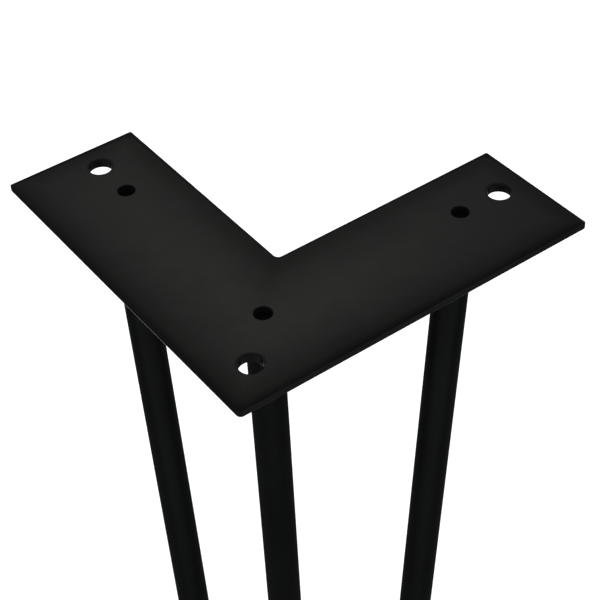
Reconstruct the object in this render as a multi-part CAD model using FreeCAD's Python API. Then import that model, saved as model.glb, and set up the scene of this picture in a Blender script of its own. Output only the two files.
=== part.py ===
import FreeCAD, Part
import math
import os

# A welded three-bar hairpin table leg, in millimetres.
# The top face of the mounting plate lies at z = 0 against the table, and +Z points up.
# The origin is on that face, where the centrelines of the plate's two arms cross.
# +Y points from the plate's outer corner to its inner notch. The leg is symmetrical about x = 0.

# Height of the leg, from the plate's top face to the underside of the bend
leg_height = 400.0

# Mounting plate, a right-angled L with two equal arms
arm_length = 113.0
arm_width = 40.0
plate_thickness = 3.0
outer_corner_radius = 1.2
arm_end_outer_radius = 0.4
arm_end_inner_radius = 0.4
notch_radius = 1.5
plate_edge_break = 0.3

# Screw holes, one near each arm's end and one in the outer corner
screw_hole_diameter = 6.5
screw_hole_from_arm_end = 9.5
corner_screw_hole_inset = 11.5

# Small holes at the upper ends of the bars, closed from below by the bars and their welds
bar_hole_diameter = 5.0
bar_hole_from_arm_end = 23.5
corner_bar_hole_inset = 24.5

# The arms' holes stand on a line at this distance from the plate's outer edge
arm_hole_line = 24.0

# Round steel bars: where their upper ends stand under the plate, and where they meet at the foot
bar_diameter = 10.0
arm_bar_from_arm_end = 27.0
arm_bar_line = 21.0
corner_bar_inset = 24.0
bend_radius = 24.0
foot_inward = 10.0
corner_bar_seat_depth = 1.5

# Fillet welds: the plate's welds have two equal legs, and the foot's weld swells to a ridge
plate_weld_leg = 3.5
foot_weld_leg = 3.5
foot_weld_width = 3.0
foot_weld_ridge_drop = 1.0
foot_weld_root_drop = 4.0

# Values that follow from the sizes above
Vector = FreeCAD.Vector
upward = Vector(0, 0, 1)
bar_radius = bar_diameter / 2
underside = -plate_thickness
tool_margin = 4 * bar_diameter


def plate_point(along, across, height=0.0):
    """A point from its distances to the left and the right arm's outer edges, measured inward."""
    crossing = arm_width / math.sqrt(2)
    return Vector((along - across) / math.sqrt(2), (along + across) / math.sqrt(2) - crossing, height)


def hole_centres():
    """Each hole's diameter and place in the plate."""
    centres = []
    for end_distance, diameter in (
        (screw_hole_from_arm_end, screw_hole_diameter),
        (bar_hole_from_arm_end, bar_hole_diameter),
    ):
        along = arm_length - end_distance
        centres.append((diameter, plate_point(along, arm_hole_line, underside)))
        centres.append((diameter, plate_point(arm_hole_line, along, underside)))
    for inset, diameter in (
        (corner_screw_hole_inset, screw_hole_diameter),
        (corner_bar_hole_inset, bar_hole_diameter),
    ):
        centres.append((diameter, plate_point(inset, inset, underside)))
    return centres


def upright_edge(shape, corner):
    """The vertical edge of a slab that stands at a corner of its outline."""
    for edge in shape.Edges:
        ends = [vertex.Point for vertex in edge.Vertexes]
        if all(math.hypot(end.x - corner.x, end.y - corner.y) < 1e-6 for end in ends):
            return edge
    raise ValueError("no upright edge at this corner")


def build_plate():
    """The L-shaped slab with rounded corners, drilled, with every level edge broken."""
    corners = [
        (plate_point(0, 0, underside), outer_corner_radius),
        (plate_point(arm_length, 0, underside), arm_end_outer_radius),
        (plate_point(arm_length, arm_width, underside), arm_end_inner_radius),
        (plate_point(arm_width, arm_width, underside), notch_radius),
        (plate_point(arm_width, arm_length, underside), arm_end_inner_radius),
        (plate_point(0, arm_length, underside), arm_end_outer_radius),
    ]
    outline = [corner for corner, radius in corners]
    slab = Part.Face(Part.makePolygon(outline + outline[:1])).extrude(upward * plate_thickness)
    for corner, radius in corners:
        slab = slab.makeFillet(radius, [upright_edge(slab, corner)])
    for diameter, centre in hole_centres():
        slab = slab.cut(Part.makeCylinder(diameter / 2, plate_thickness, centre))
    level_edges = [edge for edge in slab.Edges if edge.BoundBox.ZLength < 1e-6]
    return slab.makeChamfer(plate_edge_break, level_edges)


def space_above_underside():
    """A block that cuts bars and welds off level with the plate's underside."""
    reach = 2 * arm_length
    corner = Vector(-reach, -reach, underside)
    return Part.makeBox(2 * reach, 2 * reach, tool_margin, corner)


def arm_bar_top():
    """The middle of the hairpin's right upper end, on the plate's underside."""
    return plate_point(arm_length - arm_bar_from_arm_end, arm_bar_line, underside)


def corner_bar_top():
    """The middle of the corner bar's upper end, on the plate's underside."""
    return plate_point(corner_bar_inset, corner_bar_inset, underside)


def foot_centre():
    """The lowest point of the bend's centreline."""
    return Vector(0, foot_inward, bar_radius - leg_height)


def hairpin_plane_point(across, down):
    """A point in the hairpin's leaning plane, measured down from the plate's underside."""
    top = Vector(0, arm_bar_top().y, underside)
    slope = (foot_centre() - top).normalize()
    return top + Vector(across, 0, 0) + slope * down


def build_hairpin():
    """One bar bent into a hairpin: two straight arms that run into the bend without a kink."""
    half_spread = arm_bar_top().x
    plane_height = (foot_centre() - Vector(0, arm_bar_top().y, underside)).Length
    centre_down = plane_height - bend_radius
    lean = math.atan2(half_spread, centre_down) - math.asin(bend_radius / math.hypot(half_spread, centre_down))
    touch_across = bend_radius * math.cos(lean)
    touch_down = centre_down + bend_radius * math.sin(lean)
    end_down = -tool_margin / 2
    end_across = half_spread - end_down * math.tan(lean)

    right_end = hairpin_plane_point(end_across, end_down)
    right_touch = hairpin_plane_point(touch_across, touch_down)
    left_touch = hairpin_plane_point(-touch_across, touch_down)
    left_end = hairpin_plane_point(-end_across, end_down)
    path = Part.Wire([
        Part.makeLine(right_end, right_touch),
        Part.Arc(right_touch, foot_centre(), left_touch).toShape(),
        Part.makeLine(left_touch, left_end),
    ])
    section = Part.Wire(Part.makeCircle(bar_radius, right_end, right_touch - right_end))
    return path.makePipeShell([section], True, False).cut(space_above_underside())


def build_corner_bar(hairpin):
    """A straight bar under the plate's corner, with its lower end notched over the bend."""
    run = foot_centre() - corner_bar_top()
    slope = Vector(run).normalize()
    start = corner_bar_top() - slope * (tool_margin / 2)
    seated_length = run.Length + tool_margin / 2 - bar_radius + corner_bar_seat_depth
    bar = Part.makeCylinder(bar_radius, seated_length, start, slope)
    return bar.cut(space_above_underside()).cut(hairpin)


def cone_into_bar(wide_end, direction, width, length):
    """A cone that narrows from a width outside the bar to the bar's surface, and runs on inside the bar."""
    core_radius = bar_radius / 2
    cone_length = length * (width + bar_radius - core_radius) / width
    return Part.makeCone(bar_radius + width, core_radius, cone_length, wide_end, direction)


def build_plate_weld(top, bar):
    """The fillet between a bar's upper end and the plate's underside."""
    return cone_into_bar(top, -upward, plate_weld_leg, plate_weld_leg).cut(bar)


def build_foot_weld(corner_bar, hairpin):
    """The collar round the corner bar's notched end, run down onto the inside of the bend."""
    slope = (corner_bar_top() - foot_centre()).normalize()
    ridge = foot_centre() + slope * (bar_radius - foot_weld_ridge_drop)
    upper = cone_into_bar(ridge, slope, foot_weld_width, foot_weld_ridge_drop + foot_weld_leg)
    lower = cone_into_bar(ridge, -slope, foot_weld_width, foot_weld_root_drop - foot_weld_ridge_drop)
    return upper.fuse(lower).cut(corner_bar).cut(hairpin)


def build_leg():
    """Every piece of the leg under its own name."""
    hairpin = build_hairpin()
    corner_bar = build_corner_bar(hairpin)
    right_weld = build_plate_weld(arm_bar_top(), hairpin)
    return {
        "mounting_plate": build_plate(),
        "hairpin_rod": hairpin,
        "corner_rod": corner_bar,
        "plate_weld_right": right_weld,
        "plate_weld_left": right_weld.mirror(Vector(), Vector(1, 0, 0)),
        "plate_weld_corner": build_plate_weld(corner_bar_top(), corner_bar),
        "foot_weld": build_foot_weld(corner_bar, hairpin),
    }


os.makedirs("parts", exist_ok=True)
for name, shape in build_leg().items():
    shape.exportStep(f"parts/{name}.step")
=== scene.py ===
"""A steel hairpin table leg with a punched corner plate, coated satin black, standing on a white floor."""
import math

import bmesh
import bpy
from bpy.props import FloatProperty, FloatVectorProperty, IntProperty, PointerProperty
from mathutils import Matrix, Quaternion, Vector, noise


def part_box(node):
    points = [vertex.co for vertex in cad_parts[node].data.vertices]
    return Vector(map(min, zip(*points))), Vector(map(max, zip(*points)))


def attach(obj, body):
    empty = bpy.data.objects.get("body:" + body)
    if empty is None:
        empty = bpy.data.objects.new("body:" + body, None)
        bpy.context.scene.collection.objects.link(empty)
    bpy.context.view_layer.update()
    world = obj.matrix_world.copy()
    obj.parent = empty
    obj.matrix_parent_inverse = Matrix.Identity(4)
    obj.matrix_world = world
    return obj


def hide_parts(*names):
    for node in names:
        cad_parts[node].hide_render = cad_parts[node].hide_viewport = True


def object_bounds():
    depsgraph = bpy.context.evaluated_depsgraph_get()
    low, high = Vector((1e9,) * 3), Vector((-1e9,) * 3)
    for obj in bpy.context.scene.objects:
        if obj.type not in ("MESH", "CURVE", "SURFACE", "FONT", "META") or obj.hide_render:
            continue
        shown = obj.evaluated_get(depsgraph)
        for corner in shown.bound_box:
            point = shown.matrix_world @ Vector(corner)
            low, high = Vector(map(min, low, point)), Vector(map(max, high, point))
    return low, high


bl_info = {
    "name": "Hairpin table leg",
    "version": (1, 0, 0),
    "blender": (4, 5, 0),
    "location": "3D View > Sidebar > Table leg",
    "description": "Builds the finished look of a welded three-bar hairpin table leg around its construction",
    "category": "Object",
}

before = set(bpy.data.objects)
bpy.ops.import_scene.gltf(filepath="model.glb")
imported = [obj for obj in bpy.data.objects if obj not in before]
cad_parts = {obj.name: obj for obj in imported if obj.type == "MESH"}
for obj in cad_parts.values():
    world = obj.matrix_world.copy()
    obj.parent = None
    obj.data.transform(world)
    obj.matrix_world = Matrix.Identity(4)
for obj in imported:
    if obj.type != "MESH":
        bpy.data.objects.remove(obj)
cad_low, cad_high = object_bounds()
plate_low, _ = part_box("mounting_plate")
hairpin_low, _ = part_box("hairpin_rod")

# The plate's top face lies at z = 0 with the table above it. The origin is where the arms' centrelines cross,
# +Y points from the plate's outer corner to its inner notch, and the leg is symmetrical about x = 0.
UP = Vector((0.0, 0.0, 1.0))
FULL_TURN = 2.0 * math.pi
QUARTER_TURN = math.pi / 2
WHITE = (1.0, 1.0, 1.0)

# Edges that bend more than this look sharp
SHARP_ANGLE = math.radians(40)

# How far a weld bead's toes sink into the bars
TOE_OVERLAP = 0.00004


def metres(name, description, default):
    """A size in metres."""
    return FloatProperty(
        name=name, description=description, default=default, min=0.0, precision=5, unit="LENGTH"
    )


def location(name, description, default):
    """A point in metres."""
    return FloatVectorProperty(
        name=name, description=description, default=default, precision=6, unit="LENGTH"
    )


def tint(name, description, default):
    """A linear colour."""
    return FloatVectorProperty(
        name=name, description=description, default=default, size=3, min=0.0, max=1.0, subtype="COLOR"
    )


def fraction(name, description, default):
    """A plain share between 0 and 1."""
    return FloatProperty(
        name=name, description=description, default=default, min=0.0, max=1.0, subtype="FACTOR"
    )


def watts(name, description, default):
    """The power of a lamp."""
    return FloatProperty(name=name, description=description, default=default, min=0.0, unit="POWER")


class PlateSizes(bpy.types.PropertyGroup):
    """The punched corner plate."""

    arm_length: metres("Arm length", "Outer length of each arm of the plate", 0.113)
    arm_width: metres("Arm width", "Width of each arm", 0.040)
    outer_corner_radius: metres("Outer corner radius", "Rounding of the plate's outer corner", 0.0012)
    arm_end_outer_radius: metres("Arm end radius", "Rounding of the arm end on the outer side", 0.0004)
    arm_end_inner_radius: metres("Arm end inner radius", "Rounding of the arm end on the inner side", 0.0004)
    notch_radius: metres("Notch radius", "Rounding of the inner corner between the arms", 0.0015)
    screw_hole: metres("Screw hole", "Diameter of the three screw holes", 0.0065)
    screw_hole_from_end: metres("Screw hole from end", "Screw hole centre from the arm's end", 0.0095)
    corner_screw_hole_inset: metres("Corner screw hole inset", "Its centre from both outer edges", 0.0115)
    bar_hole: metres("Bar hole", "Diameter of the small holes at the bars' ends", 0.005)
    bar_hole_from_end: metres("Bar hole from end", "Small hole centre from the arm's end", 0.0235)
    corner_bar_hole_inset: metres("Corner bar hole inset", "Its centre from both outer edges", 0.0245)
    arm_hole_line: metres("Arm hole line", "Distance of the arms' holes from the outer edge", 0.024)
    edge_roll_width: metres("Edge roll width", "How far in the top face starts to roll over", 0.0028)
    edge_roll_depth: metres("Edge roll depth", "How far down the rolled edge reaches", 0.0006)
    screw_hole_roll_width: metres("Screw hole roll width", "Width of the rolled rim of a screw hole", 0.0009)
    screw_hole_roll_depth: metres("Screw hole roll depth", "Depth of the rolled rim of a screw hole", 0.0006)
    bar_hole_roll_width: metres("Bar hole roll width", "Width of the rolled rim of a small hole", 0.0003)
    bar_hole_roll_depth: metres("Bar hole roll depth", "Depth of the rolled rim of a small hole", 0.0002)
    lower_edge_roll: metres("Lower edge roll", "Rounding of the outer and screw hole edges below", 0.0007)


class BarSizes(bpy.types.PropertyGroup):
    """The bent hairpin bar and the straight corner bar."""

    diameter: metres("Bar diameter", "Diameter of both bars", 0.010)
    arm_bar_from_end: metres("Arm bar from end", "Upper end of an arm's bar from the arm's end", 0.027)
    arm_bar_line: metres("Arm bar line", "Upper end of an arm's bar from the outer edge", 0.021)
    corner_bar_inset: metres("Corner bar inset", "Upper end of the corner bar from both outer edges", 0.024)
    bend_radius: metres("Bend radius", "Radius of the bend's centreline", 0.024)
    foot_inward: metres("Foot inward", "How far in from the origin the foot stands", 0.010)
    bend_flattening: fraction("Bend flattening", "How much flatter the bent part is on its inner side", 0.03)


class WeldSizes(bpy.types.PropertyGroup):
    """The weld beads."""

    plate_leg: metres("Plate weld leg", "Leg of the fillets under the plate", 0.0035)
    foot_leg: metres("Foot weld leg", "Leg of the fillet between the corner bar and the bend", 0.0033)
    crown: metres("Crown", "How far a bead bulges beyond a flat fillet", 0.00035)
    ripple_height: metres("Ripple height", "Height of the ripples along a bead", 0.00022)
    ripple_pitch: metres("Ripple pitch", "Distance from ripple to ripple", 0.0016)
    unevenness: fraction("Unevenness", "How much a bead's legs and ripples vary along it", 0.12)


class CoatLook(bpy.types.PropertyGroup):
    """The satin black powder coat."""

    colour: tint("Coat colour", "Black of the powder coat", (0.0030, 0.0030, 0.0029))
    pale_colour: tint(
        "Pale patches", "Slightly greyer black of the thinner patches", (0.0040, 0.0040, 0.0038)
    )
    # Painted sheen: the middle of the plate's arms gets this greyer black, which stands in for the broad
    # highlight along them
    middle_sheen_colour: tint(
        "Middle sheen colour", "Greyer black of the painted sheen in the middle of the plate's arms",
        (0.0075, 0.0075, 0.0074),
    )
    dust_colour: tint("Dust colour", "Fine dust that lies on the coat", (0.16, 0.155, 0.15))
    plate_roughness: fraction("Plate roughness", "Roughness of the plate's smoothest parts", 0.30)
    bar_roughness: fraction("Bar roughness", "Roughness of the smoothest parts of bars and welds", 0.16)
    roughness_spread: fraction("Roughness spread", "How much rougher the dullest parts are", 0.05)
    plate_specular: fraction("Plate specular level", "Strength of the gloss on the plate", 0.021)
    bar_specular: fraction("Bar specular level", "Strength of the gloss on bars and welds", 0.032)
    plate_dull_from: fraction("Plate dull from", "Slant at which the plate's gloss starts to dull", 0.42)
    plate_dull_to: fraction("Plate dull to", "Slant at which the plate is fully dull", 0.58)
    plate_shine_from: fraction("Plate shine from", "Slant at which the plate's sides start to shine", 0.70)
    plate_shine_to: fraction("Plate shine to", "Slant at which the plate's sides fully shine", 0.85)
    grazing_roughness: fraction("Grazing roughness", "Roughness of the plate's sides at a grazing view", 0.15)
    bar_dull_from: fraction("Bar dull from", "Slant at which the bars' gloss starts to dull", 0.08)
    bar_dull_to: fraction("Bar dull to", "Slant at which the bars are fully dull", 0.42)
    # The duller coat at the plate's edges and the painted sheen both reach this far in. The painted sheen
    # fades out from the next value towards the edge, which is left darker
    edge_reach: metres("Edge reach", "How far in from the plate's edges the thicker coat reaches", 0.018)
    sheen_fade_from: fraction("Sheen fade from", "How near to the edge, of 1, the painted sheen starts to fade", 0.6)
    edge_dullness: fraction("Edge dullness", "Roughness added at the plate's edges", 0.15)
    peel_size: metres("Orange peel size", "Width of the waves that the molten powder left", 0.0022)
    peel_height: metres("Orange peel height", "Height of these waves", 0.000010)
    grain_size: metres("Grain size", "Width of the fine powder grain", 0.00035)
    grain_height: metres("Grain height", "Height of the fine powder grain", 0.0000015)
    draw_line_width: metres("Draw line width", "Width of the lines that drawing left along the bars", 0.0009)
    draw_line_height: metres("Draw line height", "Depth of these lines under the coat", 0.000008)


class StageLook(bpy.types.PropertyGroup):
    """Floor, lamps and camera."""

    floor_colour: tint("Floor colour", "Pale floor", (0.5, 0.5, 0.5))
    floor_radius: metres("Floor radius", "Half the floor's width", 9.0)
    key_colour: tint("Key colour", "Colour of the large softbox", (1.0, 1.0, 0.90))
    strip_colour: tint("Strip colour", "Colour of the strip lights", (0.82, 0.91, 1.0))
    backdrop_lift: fraction("Backdrop lift", "Brightness added to the floor where it shows", 0.62)
    room_colour: tint("Room colour", "Cool tint of the light from the room", (0.92, 0.965, 1.0))
    world_fill: fraction("World fill", "Brightness of the room as a light at the horizon", 0.44)
    ceiling_boost: fraction("Ceiling boost", "How much brighter the room is overhead", 1.0)
    key_power: watts("Key power", "Power of the large softbox", 4.2)
    strip_power: watts("Strip power", "Power of each strip light", 5.0)
    key_place: location("Key place", "Where the large softbox hangs", (-0.19, 0.82, 0.87))
    key_aim: location("Key aim", "The point on the plate that the large softbox faces", (0.0, 0.02, 0.0))
    key_size: metres("Key size", "Width of the large softbox", 0.4)
    strip_distance: metres("Strip distance", "How far the strip lights stand from the leg", 1.2)
    strip_width: metres("Strip width", "Width of a strip light", 0.10)
    strip_height: metres("Strip height", "Height of a strip light", 0.9)
    camera_place: location("Camera place", "Where the camera stands", (0.064103, -0.283649, 0.271697))
    camera_aim: location(
        "Camera aim", "The point on the plate that the camera is aimed at", (0.0085635, 0.0122375, 0.0)
    )
    camera_roll: FloatProperty(
        name="Camera roll", description="How far the camera's top leans to the right",
        default=math.radians(2.992), unit="ROTATION",
    )
    focal_length: FloatProperty(
        name="Focal length", description="Focal length on a 36 mm wide sensor, in millimetres", default=95.47
    )


class LegSettings(bpy.types.PropertyGroup):
    """Everything that a user would change on the leg."""

    plate: PointerProperty(type=PlateSizes, name="Plate", description="Sizes of the plate")
    bars: PointerProperty(type=BarSizes, name="Bars", description="Sizes of the bars")
    welds: PointerProperty(type=WeldSizes, name="Welds", description="Sizes of the weld beads")
    coat: PointerProperty(type=CoatLook, name="Coat", description="Look of the powder coat")
    stage: PointerProperty(type=StageLook, name="Stage", description="Floor, lamps and camera")
    facets: IntProperty(name="Facets", description="Facets round a bar", default=64, min=16, max=128)


# Places on the leg


def plate_point(plate, along, across, height=0.0):
    """A point from its distances to the left and the right arm's outer edges, measured inward."""
    crossing = plate.arm_width / math.sqrt(2)
    return Vector(((along - across) / math.sqrt(2), (along + across) / math.sqrt(2) - crossing, height))


def arm_bar_top(leg):
    """The middle of the hairpin's right upper end."""
    along = leg.plate.arm_length - leg.bars.arm_bar_from_end
    return plate_point(leg.plate, along, leg.bars.arm_bar_line, plate_low.z)


def corner_bar_top(leg):
    """The middle of the corner bar's upper end."""
    return plate_point(leg.plate, leg.bars.corner_bar_inset, leg.bars.corner_bar_inset, plate_low.z)


def foot_centre(leg):
    """The lowest point of the bend's centreline."""
    return Vector((0.0, leg.bars.foot_inward, hairpin_low.z + leg.bars.diameter / 2))


class Hairpin:
    """The centreline of the bent bar: two straight arms and the bend between them, in one leaning plane."""

    def __init__(self, leg):
        top = arm_bar_top(leg)
        middle_top = Vector((0.0, top.y, top.z))
        run = foot_centre(leg) - middle_top
        self.down = run.normalized()
        self.across = Vector((1.0, 0.0, 0.0))
        self.normal = self.across.cross(self.down)
        self.radius = leg.bars.bend_radius
        centre_down = run.length - self.radius
        reach = math.hypot(top.x, centre_down)
        self.lean = math.atan2(top.x, centre_down) - math.asin(self.radius / reach)
        self.centre = middle_top + self.down * centre_down
        self.right_top = top
        self.right_touch = self.centre + self.outward(self.lean) * self.radius

    def outward(self, angle):
        """The direction from the bend's centre, 0 to the right and a quarter turn straight down."""
        return self.across * math.cos(angle) + self.down * math.sin(angle)

    def stations(self, straight_steps, bend_steps):
        """Place, heading, outward direction and share of bending for each ring, right arm first."""
        heading = (self.right_touch - self.right_top).normalized()
        right = []
        for step in range(straight_steps):
            place = self.right_top.lerp(self.right_touch, step / straight_steps)
            right.append((place, heading, self.outward(self.lean), 0.0))
        bend = []
        for step in range(bend_steps + 1):
            share = step / bend_steps
            angle = self.lean + share * (math.pi - 2 * self.lean)
            direction = self.outward(angle)
            bend.append((
                self.centre + direction * self.radius,
                self.outward(angle + QUARTER_TURN),
                direction,
                math.sin(math.pi * share) ** 0.5,
            ))
        left = []
        for place, along, direction, bent in reversed(right):
            left.append((mirrored(place), -mirrored(along), mirrored(direction), bent))
        return right + bend + left

    def nearest(self, point):
        """The nearest point of the bend's circle."""
        offset = point - self.centre
        flat = offset - self.normal * offset.dot(self.normal)
        return self.centre + flat.normalized() * self.radius


def mirrored(vector):
    """The same vector on the other side of the leg."""
    return Vector((-vector.x, vector.y, vector.z))


# Mesh tools


def skin(rows, close_rows=False, cap_ends=False):
    """A surface over rows of points, where each row is a closed loop."""
    mesh = bmesh.new()
    layers = [[mesh.verts.new(point) for point in row] for row in rows]
    followers = layers[1:] + layers[:1] if close_rows else layers[1:]
    for layer, follower in zip(layers, followers):
        for index in range(len(layer)):
            after = (index + 1) % len(layer)
            mesh.faces.new((layer[index], layer[after], follower[after], follower[index]))
    if cap_ends:
        mesh.faces.new(layers[0][::-1])
        mesh.faces.new(layers[-1])
    bmesh.ops.recalc_face_normals(mesh, faces=mesh.faces)
    return mesh


def finished_piece(mesh, name, material, nodes, sharp_angle=SHARP_ANGLE):
    """Turns a mesh into a piece that rides on the leg and stands for the given nodes."""
    data = bpy.data.meshes.new(name)
    mesh.to_mesh(data)
    mesh.free()
    data.shade_smooth()
    if sharp_angle:
        data.set_sharp_from_angle(angle=sharp_angle)
    data.materials.append(material)
    piece = bpy.data.objects.new(name, data)
    bpy.context.scene.collection.objects.link(piece)
    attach(piece, "root")
    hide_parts(*nodes)
    return piece


# The plate


def rounded_outline(plate, inset):
    """The plate's outline moved inward, as points with their outward directions, anticlockwise from above.

    The corners of the inner outlines are rounder, because the rolled edge is widest there.
    """
    length, width = plate.arm_length, plate.arm_width
    corners = (
        ((0, 0), plate.outer_corner_radius, 1),
        ((length, 0), plate.arm_end_outer_radius, 1),
        ((length, width), plate.arm_end_inner_radius, 1),
        ((width, width), plate.notch_radius, -1),
        ((width, length), plate.arm_end_inner_radius, 1),
        ((0, length), plate.arm_end_outer_radius, 1),
    )
    steps = 8
    loop = []
    for index, (place, radius, turn) in enumerate(corners):
        before = corners[index - 1][0]
        after = corners[(index + 1) % len(corners)][0]
        arriving = (Vector(place) - Vector(before)).normalized()
        leaving = (Vector(after) - Vector(place)).normalized()
        rounding = radius + inset
        middle = Vector(place) + (leaving - arriving) * (rounding + turn * inset)
        start = Vector((arriving.y, -arriving.x)) * turn
        for step in range(steps + 1):
            angle = turn * step / steps * QUARTER_TURN
            direction = Matrix.Rotation(angle, 2) @ start
            spot = middle + direction * rounding
            point = plate_point(plate, spot.x, spot.y)
            outward = plate_point(plate, spot.x + direction.x, spot.y + direction.y) - point
            loop.append((point, outward * turn))
    return loop


def hole_outline(centre, radius, inset):
    """A hole's rim moved into the metal, as points with their directions into the hole."""
    steps = 72
    loop = []
    for step in range(steps):
        angle = FULL_TURN * step / steps
        direction = Vector((math.cos(angle), math.sin(angle), 0.0))
        loop.append((centre + direction * (radius + inset), -direction))
    return loop


def edge_profile(roll_width, roll_depth, lower_roll):
    """The edge from the top face to the underside: inset, height and tilt of its surface."""
    thickness = -plate_low.z
    profile = []
    roll_steps = 8
    for step in range(roll_steps + 1):
        angle = QUARTER_TURN * step / roll_steps
        inset = roll_width * (1 - math.sin(angle))
        height = -roll_depth * (1 - math.cos(angle))
        tilt = math.atan2(math.sin(angle) / roll_width, math.cos(angle) / roll_depth)
        profile.append((inset, height, tilt))
    lower_steps = 3
    for step in range(lower_steps + 1):
        angle = QUARTER_TURN * step / lower_steps
        inset = lower_roll * (1 - math.cos(angle))
        height = lower_roll * (1 - math.sin(angle)) - thickness
        profile.append((inset, height, QUARTER_TURN + angle))
    return profile


def hole_places(plate):
    """Centre, radius and edge profile of each hole."""
    screw_roll, bar_roll = plate.screw_hole_roll_width, plate.bar_hole_roll_width
    screw_profile = edge_profile(screw_roll, plate.screw_hole_roll_depth, plate.lower_edge_roll)
    bar_profile = edge_profile(bar_roll, plate.bar_hole_roll_depth, bar_roll)
    places = []
    for from_end, corner_inset, diameter, profile in (
        (plate.screw_hole_from_end, plate.corner_screw_hole_inset, plate.screw_hole, screw_profile),
        (plate.bar_hole_from_end, plate.corner_bar_hole_inset, plate.bar_hole, bar_profile),
    ):
        along = plate.arm_length - from_end
        for spot in (
            (along, plate.arm_hole_line), (plate.arm_hole_line, along), (corner_inset, corner_inset)
        ):
            places.append((plate_point(plate, *spot), diameter / 2, profile))
    return places


def add_edge(mesh, normals, profile, outline_at):
    """One edge of the plate, the outer one or a hole's, and its first and last loops of mesh edges."""
    layers = []
    for inset, height, tilt in profile:
        layer = []
        for point, outward in outline_at(inset):
            layer.append(mesh.verts.new(point + UP * height))
            normals.append((outward * math.sin(tilt) + UP * math.cos(tilt)).normalized())
        layers.append(layer)
    for layer, follower in zip(layers, layers[1:]):
        for index in range(len(layer)):
            after = (index + 1) % len(layer)
            mesh.faces.new((layer[index], follower[index], follower[after], layer[after]))
    rims = []
    for layer in (layers[0], layers[-1]):
        rims.append([
            mesh.edges.get((layer[index], layer[(index + 1) % len(layer)])) for index in range(len(layer))
        ])
    return rims


def plate_mesh(leg):
    """The plate with rolled edges, and the surface direction at each of its points."""
    plate = leg.plate
    mesh = bmesh.new()
    normals = []
    profile = edge_profile(plate.edge_roll_width, plate.edge_roll_depth, plate.lower_edge_roll)
    upper, lower = add_edge(mesh, normals, profile, lambda inset: rounded_outline(plate, inset))
    for centre, radius, profile in hole_places(plate):
        rims = add_edge(mesh, normals, profile, lambda inset: hole_outline(centre, radius, inset))
        upper += rims[0]
        lower += rims[1]
    for rim in (upper, lower):
        bmesh.ops.triangle_fill(mesh, use_beauty=True, use_dissolve=False, edges=rim)
    bmesh.ops.recalc_face_normals(mesh, faces=mesh.faces)
    return mesh, normals


class TABLELEG_OT_plate(bpy.types.Operator):
    """Builds the punched corner plate with its rolled edges and holes"""

    bl_idname = "table_leg.plate"
    bl_label = "Corner plate"

    def execute(self, context):
        leg = context.scene.table_leg
        mesh, normals = plate_mesh(leg)
        piece = finished_piece(mesh, "corner_plate", plate_coat(leg), ["mounting_plate"], None)
        piece.data.normals_split_custom_set_from_vertices(normals)
        return {"FINISHED"}


# The bars


def bar_ring(place, heading, side, radius, flattening, columns):
    """One ring of a bar, round its centreline, flattened on the inner side of the bend."""
    other = heading.cross(side)
    ring = []
    for column in range(columns):
        angle = FULL_TURN * column / columns
        outward = math.cos(angle)
        if outward < 0:
            outward *= 1 - flattening
        ring.append(place + side * radius * outward + other * radius * math.sin(angle))
    return ring


def cut_level(ring, heading, height):
    """Slides a ring's points along the bar until they lie level, as the bar's end is cut."""
    return [point + heading * ((height - point.z) / heading.z) for point in ring]


def along_bar(data, places, columns, radius):
    """Keeps for every point where it is round and along its bar, so that the finish follows the bend."""
    layer = data.attributes.new("bar_space", "FLOAT_VECTOR", "POINT")
    distance = 0.0
    for row, place in enumerate(places):
        distance += (place - places[max(row - 1, 0)]).length
        for column in range(columns):
            angle = FULL_TURN * column / columns
            spot = (radius * math.cos(angle), radius * math.sin(angle), distance)
            layer.data[row * columns + column].vector = spot


def finished_bar(leg, rows, places, name, node):
    """Turns a bar's rings into its coated piece."""
    piece = finished_piece(skin(rows, cap_ends=True), name, bar_coat(leg), [node])
    along_bar(piece.data, places, leg.facets, leg.bars.diameter / 2)


class TABLELEG_OT_hairpin(bpy.types.Operator):
    """Builds the bar that is bent into a hairpin"""

    bl_idname = "table_leg.hairpin"
    bl_label = "Hairpin bar"

    def execute(self, context):
        leg = context.scene.table_leg
        radius = leg.bars.diameter / 2
        stations = Hairpin(leg).stations(straight_steps=36, bend_steps=60)
        rows = []
        for place, heading, side, bent in stations:
            flattening = leg.bars.bend_flattening * bent
            rows.append(bar_ring(place, heading, side, radius, flattening, leg.facets))
        rows[0] = cut_level(rows[0], stations[0][1], plate_low.z)
        rows[-1] = cut_level(rows[-1], stations[-1][1], plate_low.z)
        finished_bar(leg, rows, [station[0] for station in stations], "hairpin_bar", "hairpin_rod")
        return {"FINISHED"}


class TABLELEG_OT_corner_bar(bpy.types.Operator):
    """Builds the straight bar under the plate's corner"""

    bl_idname = "table_leg.corner_bar"
    bl_label = "Corner bar"

    def execute(self, context):
        leg = context.scene.table_leg
        radius = leg.bars.diameter / 2
        top, foot = corner_bar_top(leg), foot_centre(leg)
        heading = (foot - top).normalized()
        side = UP.cross(heading).normalized()
        steps = 40
        places = [top.lerp(foot, step / steps) for step in range(steps + 1)]
        rows = [bar_ring(place, heading, side, radius, 0.0, leg.facets) for place in places]
        rows[0] = cut_level(rows[0], heading, plate_low.z)
        finished_bar(leg, rows, places, "corner_bar", "corner_rod")
        return {"FINISHED"}


# The weld beads


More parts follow.
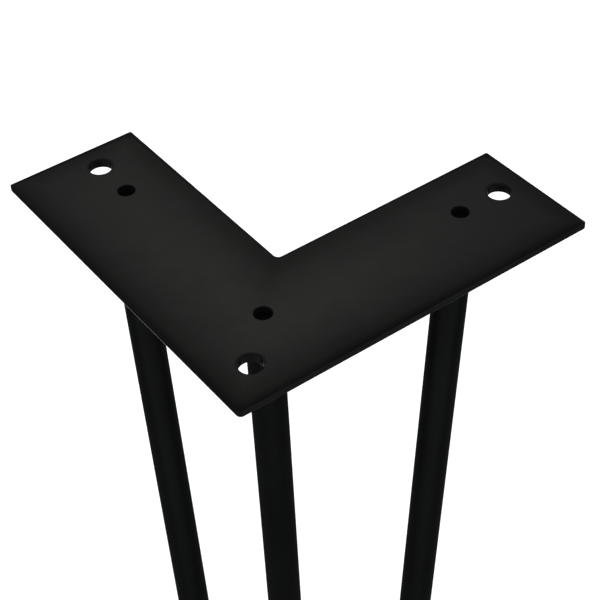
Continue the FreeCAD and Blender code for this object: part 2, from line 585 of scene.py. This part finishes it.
class Bead:
    """The ripples and the unevenness of one closed weld bead."""

    samples_per_ripple = 14
    steps_across = 14

    # How fast the legs, the ripples' spacing and the ripples' height change round the bead
    leg_speed = 1.3
    spacing_speed = 4.0
    height_speed = 9.0

    # How far a ripple trails at the toes, and how far its place drifts, both in ripples
    toe_trail = 0.8
    spacing_drift = 0.35

    # How much more the ripples' height varies than the legs do
    height_unevenness = 2.5

    def __init__(self, welds, around, seed):
        self.welds = welds
        self.seed = seed
        self.ripples = round(around / welds.ripple_pitch)
        self.samples = self.ripples * self.samples_per_ripple

    def wander(self, turn, speed):
        """A slow change along the bead, between -1 and 1."""
        angle = FULL_TURN * turn
        return noise.noise(Vector((speed * math.cos(angle), speed * math.sin(angle), self.seed)))

    def leg_share(self, turn):
        """How long the bead's legs are here, next to their full length."""
        return 1.0 - self.welds.unevenness * (0.5 + 0.5 * self.wander(turn, self.leg_speed))

    def rise(self, turn, share):
        """How far the surface stands out of a flat fillet, across the bead from 0 to 1."""
        trailing = self.toe_trail * (2 * share - 1) ** 2
        phase = turn * self.ripples + trailing + self.spacing_drift * self.wander(turn, self.spacing_speed)
        wave = math.sqrt(0.5 - 0.5 * math.cos(FULL_TURN * phase))
        unevenness = self.height_unevenness * self.welds.unevenness
        height = self.welds.ripple_height * (1.0 + unevenness * self.wander(turn, self.height_speed))
        dome = 4 * share * (1 - share)
        return dome * self.welds.crown + math.sqrt(dome) * height * wave

    def section(self, turn, upper_toe, lower_toe, root):
        """The bead's closed section between its two toes and its hidden root."""
        outward = ((upper_toe + lower_toe) / 2 - root).normalized()
        loop = [root]
        for step in range(self.steps_across + 1):
            share = step / self.steps_across
            point = upper_toe.lerp(lower_toe, share)
            loop.append(point + outward * self.rise(turn, share))
        return loop


def plate_bead_rows(leg, top, heading, seed):
    """The fillet between a bar's upper end and the plate's underside."""
    radius = leg.bars.diameter / 2
    root_radius = radius * 0.85
    bead = Bead(leg.welds, FULL_TURN * (radius + leg.welds.plate_leg / 2), seed)
    rows = []
    for sample in range(bead.samples):
        turn = sample / bead.samples
        level = Vector((math.cos(FULL_TURN * turn), math.sin(FULL_TURN * turn), 0.0))
        across = (level - heading * level.dot(heading)).normalized()
        reach = leg.welds.plate_leg * bead.leg_share(turn)
        upper_toe = top + level * (radius + reach)
        lower_toe = top + heading * (reach / abs(heading.z)) + across * (radius - TOE_OVERLAP)
        root = top + level * root_radius
        rows.append(bead.section(turn, upper_toe, lower_toe, root))
    return rows


class TABLELEG_OT_plate_welds(bpy.types.Operator):
    """Builds the three rippled weld beads under the plate"""

    bl_idname = "table_leg.plate_welds"
    bl_label = "Plate welds"

    def execute(self, context):
        leg = context.scene.table_leg
        hairpin = Hairpin(leg)
        right_heading = (hairpin.right_touch - hairpin.right_top).normalized()
        corner_heading = (foot_centre(leg) - corner_bar_top(leg)).normalized()
        beads = (
            ("right", arm_bar_top(leg), right_heading, 3.1),
            ("left", mirrored(arm_bar_top(leg)), mirrored(right_heading), 7.4),
            ("corner", corner_bar_top(leg), corner_heading, 11.8),
        )
        for name, top, heading, seed in beads:
            mesh = skin(plate_bead_rows(leg, top, heading, seed), close_rows=True)
            finished_piece(mesh, "weld_bead_" + name, weld_coat(leg), ["plate_weld_" + name])
        return {"FINISHED"}


def foot_bead_rows(leg, seed):
    """The fillet where the corner bar's end sits on the bend."""
    hairpin = Hairpin(leg)
    radius = leg.bars.diameter / 2
    foot = foot_centre(leg)
    upward = (corner_bar_top(leg) - foot).normalized()
    first = upward.cross(Vector((1.0, 0.0, 0.0))).normalized()
    seat = radius * (1 - leg.bars.bend_flattening) - TOE_OVERLAP
    root_inset, root_drop = radius * 0.35, radius * 0.1
    bead = Bead(leg.welds, FULL_TURN * (radius + leg.welds.foot_leg / 2), seed)
    rows = []
    for sample in range(bead.samples):
        turn = sample / bead.samples
        across = Quaternion(upward, FULL_TURN * turn) @ first
        corner = bend_meeting(hairpin, foot + across * radius, upward, radius)
        reach = leg.welds.foot_leg * bead.leg_share(turn)
        upper_toe = corner + upward * reach - across * TOE_OVERLAP
        guess = corner + (across - upward) * reach / math.sqrt(2)
        ring_middle = hairpin.nearest(guess)
        lower_toe = ring_middle + (guess - ring_middle).normalized() * seat
        root = corner - across * root_inset - upward * root_drop
        rows.append(bead.section(turn, upper_toe, lower_toe, root))
    return rows


def bend_meeting(hairpin, start, upward, radius):
    """Where a line up the corner bar's surface leaves the bend."""
    low, high = 0.0, 2 * radius
    halvings = 40
    for _ in range(halvings):
        middle = (low + high) / 2
        point = start + upward * middle
        if (point - hairpin.nearest(point)).length < radius:
            low = middle
        else:
            high = middle
    return start + upward * high


class TABLELEG_OT_foot_weld(bpy.types.Operator):
    """Builds the rippled weld bead at the foot"""

    bl_idname = "table_leg.foot_weld"
    bl_label = "Foot weld"

    def execute(self, context):
        leg = context.scene.table_leg
        mesh = skin(foot_bead_rows(leg, seed=17.2), close_rows=True)
        finished_piece(mesh, "weld_bead_foot", weld_coat(leg), ["foot_weld"])
        return {"FINISHED"}


# Shader tools


def new_group(name, numbers, outputs):
    """An empty shader node group that takes a point and numbers, and puts out numbers."""
    group = bpy.data.node_groups.new(name, "ShaderNodeTree")
    group.interface.new_socket("Vector", in_out="INPUT", socket_type="NodeSocketVector")
    for number, value in numbers.items():
        socket = group.interface.new_socket(number, in_out="INPUT", socket_type="NodeSocketFloat")
        socket.default_value = value
    for output in outputs:
        group.interface.new_socket(output, in_out="OUTPUT", socket_type="NodeSocketFloat")
    start = group.nodes.new("NodeGroupInput")
    end = group.nodes.new("NodeGroupOutput")
    return group, start, end


def feed(tree, socket, value):
    """Links an output to a socket, or sets the socket to a plain value."""
    if isinstance(value, bpy.types.NodeSocket):
        tree.links.new(value, socket)
    else:
        socket.default_value = value


def add_node(tree, kind, settings=None, **values):
    """A node with its settings, and values or links for its inputs."""
    node = tree.nodes.new(kind)
    for name, value in (settings or {}).items():
        setattr(node, name, value)
    for name, value in values.items():
        feed(tree, node.inputs[name.replace("_", " ")], value)
    return node


def arithmetic(tree, operation, first, second, third=None):
    """The result of a math node."""
    node = tree.nodes.new("ShaderNodeMath")
    node.operation = operation
    for socket, value in zip(node.inputs, (first, second, third)):
        if value is not None:
            feed(tree, socket, value)
    return node.outputs[0]


def spread(tree, value, low, high, to_low=0.0, to_high=1.0):
    """The value moved smoothly from one range to another."""
    node = add_node(
        tree, "ShaderNodeMapRange", {"interpolation_type": "SMOOTHSTEP"}, Value=value, From_Min=low,
        From_Max=high, To_Min=to_low, To_Max=to_high,
    )
    return node.outputs["Result"]


def mixed_colour(tree, share, first, second):
    """A colour between two others."""
    node = tree.nodes.new("ShaderNodeMix")
    node.data_type = "RGBA"
    tree.links.new(share, node.inputs["Factor"])
    for name, value in (("A", first), ("B", second)):
        socket = [entry for entry in node.inputs if entry.name == name and entry.type == "RGBA"][0]
        feed(tree, socket, value if isinstance(value, bpy.types.NodeSocket) else (*value, 1.0))
    return [entry for entry in node.outputs if entry.type == "RGBA"][0]


def surface_place(tree):
    """The point of the surface in metres, on the leg itself."""
    return tree.nodes.new("ShaderNodeTexCoord").outputs["Object"]


def upwardness(tree):
    """How much the surface faces up: 1 on a level top, 0 on a side and -1 underneath."""
    normal = tree.nodes.new("ShaderNodeNewGeometry").outputs["Normal"]
    return add_node(tree, "ShaderNodeSeparateXYZ", Vector=normal).outputs["Z"]


def coat_relief_group():
    """Orange peel and fine grain of a powder coat, as one relief."""
    name = "Powder coat relief"
    if name in bpy.data.node_groups:
        return bpy.data.node_groups[name]
    group, start, end = new_group(
        name,
        {"Peel Size": 0.002, "Peel Height": 0.00001, "Grain Size": 0.0004, "Grain Height": 0.000002},
        ("Height",),
    )
    vector = start.outputs["Vector"]
    peel_scale = arithmetic(group, "DIVIDE", 1.0, start.outputs["Peel Size"])
    grain_scale = arithmetic(group, "DIVIDE", 1.0, start.outputs["Grain Size"])
    peel = add_node(
        group, "ShaderNodeTexNoise", Vector=vector, Scale=peel_scale, Detail=1.5, Roughness=0.45,
        Distortion=0.3,
    )
    grain = add_node(group, "ShaderNodeTexNoise", Vector=vector, Scale=grain_scale, Detail=2.0, Roughness=0.6)
    peel_height = arithmetic(group, "MULTIPLY", peel.outputs["Fac"], start.outputs["Peel Height"])
    height = arithmetic(
        group, "MULTIPLY_ADD", grain.outputs["Fac"], start.outputs["Grain Height"], peel_height
    )
    group.links.new(height, end.inputs["Height"])
    return group


def coat_tone_group():
    """The coat's slow changes of tone and gloss, and the fine dust that lies on it."""
    name = "Powder coat tone"
    if name in bpy.data.node_groups:
        return bpy.data.node_groups[name]
    group, start, end = new_group(
        name,
        {"Patch Size": 0.03, "Speck Size": 0.0012, "Dust": 0.5},
        ("Patches", "Dullness", "Dust"),
    )
    # The ranges over which each effect goes from none to full
    patch_range = (0.34, 0.66)
    smear_range = (0.30, 0.70)
    film_range = (0.52, 0.80)
    film_strength = 0.01
    speck_chance = (0.965, 0.99)
    speck_edge = (0.05, 0.22)
    dusty_slopes = (0.2, 0.9)
    vector = start.outputs["Vector"]
    patch_scale = arithmetic(group, "DIVIDE", 1.0, start.outputs["Patch Size"])
    patches = add_node(
        group, "ShaderNodeTexNoise", Vector=vector, Scale=patch_scale, Detail=3.0, Roughness=0.5,
        Distortion=0.4,
    )
    smears_per_patch = 3.1
    smear_scale = arithmetic(group, "MULTIPLY", patch_scale, smears_per_patch)
    smears = add_node(
        group, "ShaderNodeTexNoise", Vector=vector, Scale=smear_scale, Detail=5.0, Roughness=0.62,
        Distortion=1.2,
    )
    speck_scale = arithmetic(group, "DIVIDE", 1.0, start.outputs["Speck Size"])
    cells = add_node(
        group, "ShaderNodeTexVoronoi", {"feature": "F1"}, Vector=vector, Scale=speck_scale, Randomness=1.0
    )
    # A few cells hold a speck of dust at their middle
    chance = add_node(group, "ShaderNodeSeparateColor", Color=cells.outputs["Color"])
    chosen = spread(group, chance.outputs["Red"], *speck_chance)
    near = spread(group, cells.outputs["Distance"], *speck_edge, 1.0, 0.0)
    specks = arithmetic(group, "MULTIPLY", chosen, near)
    # Specks and a thin film of dust lie on what faces up
    facing_up = spread(group, upwardness(group), *dusty_slopes)
    film = spread(group, smears.outputs["Fac"], *film_range, 0.0, film_strength)
    dust = arithmetic(group, "MULTIPLY", arithmetic(group, "MAXIMUM", specks, film), facing_up)
    dust = arithmetic(group, "MULTIPLY", dust, start.outputs["Dust"])
    group.links.new(spread(group, patches.outputs["Fac"], *patch_range), end.inputs["Patches"])
    group.links.new(spread(group, smears.outputs["Fac"], *smear_range), end.inputs["Dullness"])
    group.links.new(dust, end.inputs["Dust"])
    return group


def edge_build_up_and_sheen_group():
    """How near a point of the plate is to an edge, 1 on the edge itself; it dulls the edges and bounds the
    painted sheen.
    """
    name = "Powder coat build-up and sheen"
    if name in bpy.data.node_groups:
        return bpy.data.node_groups[name]
    group, start, end = new_group(
        name,
        {"Arm Length": 0.1, "Arm Width": 0.04, "Reach": 0.01},
        ("Edge",),
    )
    width = start.outputs["Arm Width"]
    place = add_node(group, "ShaderNodeSeparateXYZ", Vector=start.outputs["Vector"])
    half_width = arithmetic(group, "DIVIDE", width, 2.0)
    # The arms run at 45 degrees to both axes
    diagonal = math.sqrt(0.5)
    middle = arithmetic(group, "MULTIPLY_ADD", place.outputs["Y"], diagonal, half_width)
    offset = arithmetic(group, "MULTIPLY", place.outputs["X"], diagonal)
    from_left = arithmetic(group, "ADD", middle, offset)
    from_right = arithmetic(group, "SUBTRACT", middle, offset)
    outer = arithmetic(group, "MINIMUM", from_left, from_right)
    inner = arithmetic(group, "SUBTRACT", width, outer)
    along = arithmetic(group, "MAXIMUM", from_left, from_right)
    far = arithmetic(group, "SUBTRACT", start.outputs["Arm Length"], along)
    nearest = arithmetic(group, "MINIMUM", arithmetic(group, "MINIMUM", outer, inner), far)
    group.links.new(spread(group, nearest, 0.0, start.outputs["Reach"], 1.0, 0.0), end.inputs["Edge"])
    return group


def placed_group(tree, group, **values):
    """A shader node group in a material, with its own values."""
    node = tree.nodes.new("ShaderNodeGroup")
    node.node_tree = group
    for name, value in values.items():
        feed(tree, node.inputs[name.replace("_", " ")], value)
    return node


def empty_material(name):
    """A new material without nodes, and its node tree."""
    material = bpy.data.materials.new(name)
    material.use_nodes = True
    material.node_tree.nodes.clear()
    return material, material.node_tree


def coat_material(
    name, coat, patch_size, dust_amount, roughness, dull_from, dull_to, specular,
    extra_relief=None, extra_tone=None, extra_shine=None,
):
    """A powder coated surface.

    The extras are functions. They return a height, a changed colour and roughness, and a roughness by slant.
    """
    if name in bpy.data.materials:
        return bpy.data.materials[name]
    material, tree = empty_material(name)
    dust_dullness = 0.4
    place = surface_place(tree)
    tone = placed_group(tree, coat_tone_group(), Vector=place, Patch_Size=patch_size, Dust=dust_amount)
    colour = mixed_colour(tree, tone.outputs["Patches"], coat.colour, coat.pale_colour)
    colour = mixed_colour(tree, tone.outputs["Dust"], colour, coat.dust_colour)
    roughness = arithmetic(tree, "MULTIPLY_ADD", tone.outputs["Dullness"], coat.roughness_spread, roughness)
    roughness = arithmetic(tree, "MULTIPLY_ADD", tone.outputs["Dust"], dust_dullness, roughness)
    if extra_tone:
        colour, roughness = extra_tone(tree, colour, roughness)
    slant = add_node(tree, "ShaderNodeLayerWeight", Blend=0.5)
    roughness = spread(tree, slant.outputs["Facing"], dull_from, dull_to, roughness, 1.0)
    if extra_shine:
        roughness = extra_shine(tree, slant.outputs["Facing"], roughness)
    relief = placed_group(
        tree, coat_relief_group(), Vector=place, Peel_Size=coat.peel_size, Peel_Height=coat.peel_height,
        Grain_Size=coat.grain_size, Grain_Height=coat.grain_height,
    )
    height = relief.outputs["Height"]
    if extra_relief:
        height = arithmetic(tree, "ADD", height, extra_relief(tree))
    bump = add_node(tree, "ShaderNodeBump", Height=height, Distance=1.0, Strength=1.0)
    shader = add_node(
        tree, "ShaderNodeBsdfPrincipled", Base_Color=colour, Roughness=roughness,
        Specular_IOR_Level=specular, Normal=bump.outputs["Normal"],
    )
    add_node(tree, "ShaderNodeOutputMaterial", Surface=shader.outputs["BSDF"])
    return material


def plate_coat(leg):
    """Powder coat over the flat plate, with a painted sheen that greys the middle of its arms, duller towards
    its edges, with sides that shine.
    """
    coat = leg.coat
    sheen_share = 0.8
    side_range = (0.0, 0.5)

    def sheen_in_middle_dull_edges(tree, colour, roughness):
        build_up = placed_group(
            tree, edge_build_up_and_sheen_group(), Vector=surface_place(tree), Arm_Length=leg.plate.arm_length,
            Arm_Width=leg.plate.arm_width, Reach=coat.edge_reach,
        )
        edge = build_up.outputs["Edge"]
        # Painted sheen: the middle of the arms is coloured greyer than the edges, in place of the broad
        # highlight along them
        middle = spread(tree, edge, coat.sheen_fade_from, 1.0, sheen_share, 0.0)
        colour = mixed_colour(tree, middle, colour, coat.middle_sheen_colour)
        return colour, arithmetic(tree, "MULTIPLY_ADD", edge, coat.edge_dullness, roughness)

    def shining_sides(tree, slant, roughness):
        grazing = spread(tree, upwardness(tree), *side_range, coat.grazing_roughness, 1.0)
        return spread(tree, slant, coat.plate_shine_from, coat.plate_shine_to, roughness, grazing)

    return coat_material(
        "Plate coat", coat, patch_size=0.045, dust_amount=0.10, roughness=coat.plate_roughness,
        dull_from=coat.plate_dull_from, dull_to=coat.plate_dull_to, specular=coat.plate_specular,
        extra_tone=sheen_in_middle_dull_edges, extra_shine=shining_sides,
    )


def bar_coat(leg):
    """Powder coat over drawn bar, with its lines running along the bar."""
    line_stretch = 50.0

    def draw_lines(tree):
        space = add_node(tree, "ShaderNodeAttribute", {"attribute_name": "bar_space"})
        stretched = add_node(tree, "ShaderNodeVectorMath", {"operation": "MULTIPLY"})
        feed(tree, stretched.inputs[0], space.outputs["Vector"])
        feed(tree, stretched.inputs[1], (1.0, 1.0, 1.0 / line_stretch))
        lines = add_node(
            tree, "ShaderNodeTexNoise", Vector=stretched.outputs[0], Scale=1.0 / leg.coat.draw_line_width,
            Detail=2.0, Roughness=0.55,
        )
        return arithmetic(tree, "MULTIPLY", lines.outputs["Fac"], leg.coat.draw_line_height)

    return round_coat(leg.coat, "Bar coat", patch_size=0.03, dust_amount=0.25, relief=draw_lines)


def weld_coat(leg):
    """Powder coat over rough weld metal, with small pits and grains."""
    pits_per_metre = 1400.0
    pit_depth = 0.00003

    def pits(tree):
        cells = add_node(
            tree, "ShaderNodeTexVoronoi", {"feature": "SMOOTH_F1"}, Vector=surface_place(tree),
            Scale=pits_per_metre, Smoothness=0.4, Randomness=1.0,
        )
        return arithmetic(tree, "MULTIPLY", cells.outputs["Distance"], pit_depth)

    return round_coat(leg.coat, "Weld coat", patch_size=0.006, dust_amount=0.2, relief=pits)


def round_coat(coat, name, patch_size, dust_amount, relief):
    """The coat as it lies on bars and beads, whose gloss dulls early towards their sides."""
    return coat_material(
        name, coat, patch_size, dust_amount, coat.bar_roughness, coat.bar_dull_from, coat.bar_dull_to,
        coat.bar_specular, extra_relief=relief,
    )


# The stage


def shown_ray(tree):
    """1 for rays that show the backdrop: the camera's, and those seen in gloss or through glass."""
    light_path = tree.nodes.new("ShaderNodeLightPath")
    share = arithmetic(
        tree, "MAXIMUM", light_path.outputs["Is Camera Ray"], light_path.outputs["Is Glossy Ray"]
    )
    return arithmetic(tree, "MAXIMUM", share, light_path.outputs["Is Transmission Ray"])


def floor_material(stage):
    """A pale matt floor that shows white and keeps its shadow, and that is clear from below."""
    material, tree = empty_material("Floor")
    shader = add_node(
        tree, "ShaderNodeBsdfPrincipled", Base_Color=(*stage.floor_colour, 1.0), Roughness=0.9,
        Specular_IOR_Level=0.0, Emission_Color=(*WHITE, 1.0),
        Emission_Strength=arithmetic(tree, "MULTIPLY", shown_ray(tree), stage.backdrop_lift),
    )
    sides = tree.nodes.new("ShaderNodeMixShader")
    feed(tree, sides.inputs[0], tree.nodes.new("ShaderNodeNewGeometry").outputs["Backfacing"])
    feed(tree, sides.inputs[1], shader.outputs["BSDF"])
    feed(tree, sides.inputs[2], tree.nodes.new("ShaderNodeBsdfTransparent").outputs["BSDF"])
    add_node(tree, "ShaderNodeOutputMaterial", Surface=sides.outputs["Shader"])
    return material


def white_room(stage):
    """A world that is white where it shows, and dimmer as a light."""
    world = bpy.data.worlds.new("White room")
    bpy.context.scene.world = world
    world.use_nodes = True
    tree = world.node_tree
    tree.nodes.clear()
    direction = tree.nodes.new("ShaderNodeTexCoord").outputs["Generated"]
    height = add_node(tree, "ShaderNodeSeparateXYZ", Vector=direction).outputs["Z"]
    ceiling_range = (0.2, 0.55)
    overhead = spread(tree, height, *ceiling_range)
    light = [share * stage.world_fill for share in stage.room_colour]
    ceiling = [share * (1.0 + stage.ceiling_boost) for share in light]
    light = mixed_colour(tree, overhead, light, ceiling)
    shown = mixed_colour(tree, shown_ray(tree), light, WHITE)
    background = add_node(tree, "ShaderNodeBackground", Color=shown)
    add_node(tree, "ShaderNodeOutputWorld", Surface=background.outputs["Background"])


def softbox(name, place, aim, width, height, power, colour):
    """A soft lamp that points at the leg."""
    lamp = bpy.data.lights.new(name, "AREA")
    lamp.shape = "RECTANGLE"
    lamp.size = width
    lamp.size_y = height
    lamp.energy = power
    lamp.color = colour
    stand = bpy.data.objects.new(name, lamp)
    bpy.context.scene.collection.objects.link(stand)
    stand.location = place
    stand.rotation_mode = "QUATERNION"
    stand.rotation_quaternion = (Vector(aim) - Vector(place)).to_track_quat("-Z", "Y")


def set_camera(stage):
    """The camera at the height, heading and lean of the photograph."""
    data = bpy.data.cameras.new("Camera")
    data.lens = stage.focal_length
    data.sensor_width = 36.0
    camera = bpy.data.objects.new("Camera", data)
    bpy.context.scene.collection.objects.link(camera)
    view = Vector(stage.camera_aim) - Vector(stage.camera_place)
    camera.location = stage.camera_place
    camera.rotation_mode = "QUATERNION"
    camera.rotation_quaternion = Quaternion(view, stage.camera_roll) @ view.to_track_quat("-Z", "Y")
    bpy.context.scene.camera = camera


class TABLELEG_OT_stage(bpy.types.Operator):
    """Builds the floor, the white room, the softboxes and the camera"""

    bl_idname = "table_leg.stage"
    bl_label = "Stage"

    def execute(self, context):
        stage = context.scene.table_leg.stage
        mesh = bmesh.new()
        bmesh.ops.create_circle(mesh, cap_ends=True, segments=96, radius=stage.floor_radius)
        bmesh.ops.translate(mesh, verts=mesh.verts, vec=UP * cad_low.z)
        data = bpy.data.meshes.new("floor")
        mesh.to_mesh(data)
        mesh.free()
        data.materials.append(floor_material(stage))
        floor = bpy.data.objects.new("floor", data)
        context.scene.collection.objects.link(floor)
        white_room(stage)
        softbox(
            "Key softbox", stage.key_place, stage.key_aim, stage.key_size, stage.key_size, stage.key_power,
            stage.key_colour,
        )
        middle = (cad_low + cad_high) / 2
        for bearing in (45, 135, 225, 315):
            heading = Vector((math.cos(math.radians(bearing)), math.sin(math.radians(bearing)), 0.0))
            place = middle + heading * stage.strip_distance
            softbox(
                f"Strip {bearing}", place, middle, stage.strip_width, stage.strip_height, stage.strip_power,
                stage.strip_colour,
            )
        set_camera(stage)
        context.scene.view_settings.view_transform = "Standard"
        return {"FINISHED"}


class TABLELEG_PT_sidebar(bpy.types.Panel):
    """The leg's sizes, looks and building steps"""

    bl_idname = "TABLELEG_PT_sidebar"
    bl_label = "Hairpin table leg"
    bl_space_type = "VIEW_3D"
    bl_region_type = "UI"
    bl_category = "Table leg"

    def draw(self, context):
        leg = context.scene.table_leg
        for operator in OPERATORS:
            self.layout.operator(operator.bl_idname)
        self.layout.prop(leg, "facets")
        for part in (leg.plate, leg.bars, leg.welds, leg.coat, leg.stage):
            box = self.layout.box()
            box.label(text=part.bl_rna.description)
            for name in part.__annotations__:
                box.prop(part, name)


SETTINGS = (PlateSizes, BarSizes, WeldSizes, CoatLook, StageLook, LegSettings)
OPERATORS = (
    TABLELEG_OT_plate,
    TABLELEG_OT_hairpin,
    TABLELEG_OT_corner_bar,
    TABLELEG_OT_plate_welds,
    TABLELEG_OT_foot_weld,
    TABLELEG_OT_stage,
)


def register():
    """Makes the settings, the operators and the panel known to Blender."""
    for entry in (*SETTINGS, *OPERATORS, TABLELEG_PT_sidebar):
        bpy.utils.register_class(entry)
    bpy.types.Scene.table_leg = PointerProperty(
        type=LegSettings, name="Table leg", description="The hairpin leg"
    )


def unregister():
    """Takes them out again."""
    del bpy.types.Scene.table_leg
    for entry in reversed((*SETTINGS, *OPERATORS, TABLELEG_PT_sidebar)):
        bpy.utils.unregister_class(entry)


def main():
    """Builds the leg piece by piece."""
    register()
    bpy.ops.table_leg.plate()
    bpy.ops.table_leg.hairpin()
    bpy.ops.table_leg.corner_bar()
    bpy.ops.table_leg.plate_welds()
    bpy.ops.table_leg.foot_weld()
    bpy.ops.table_leg.stage()


if __name__ == "__main__":
    main()
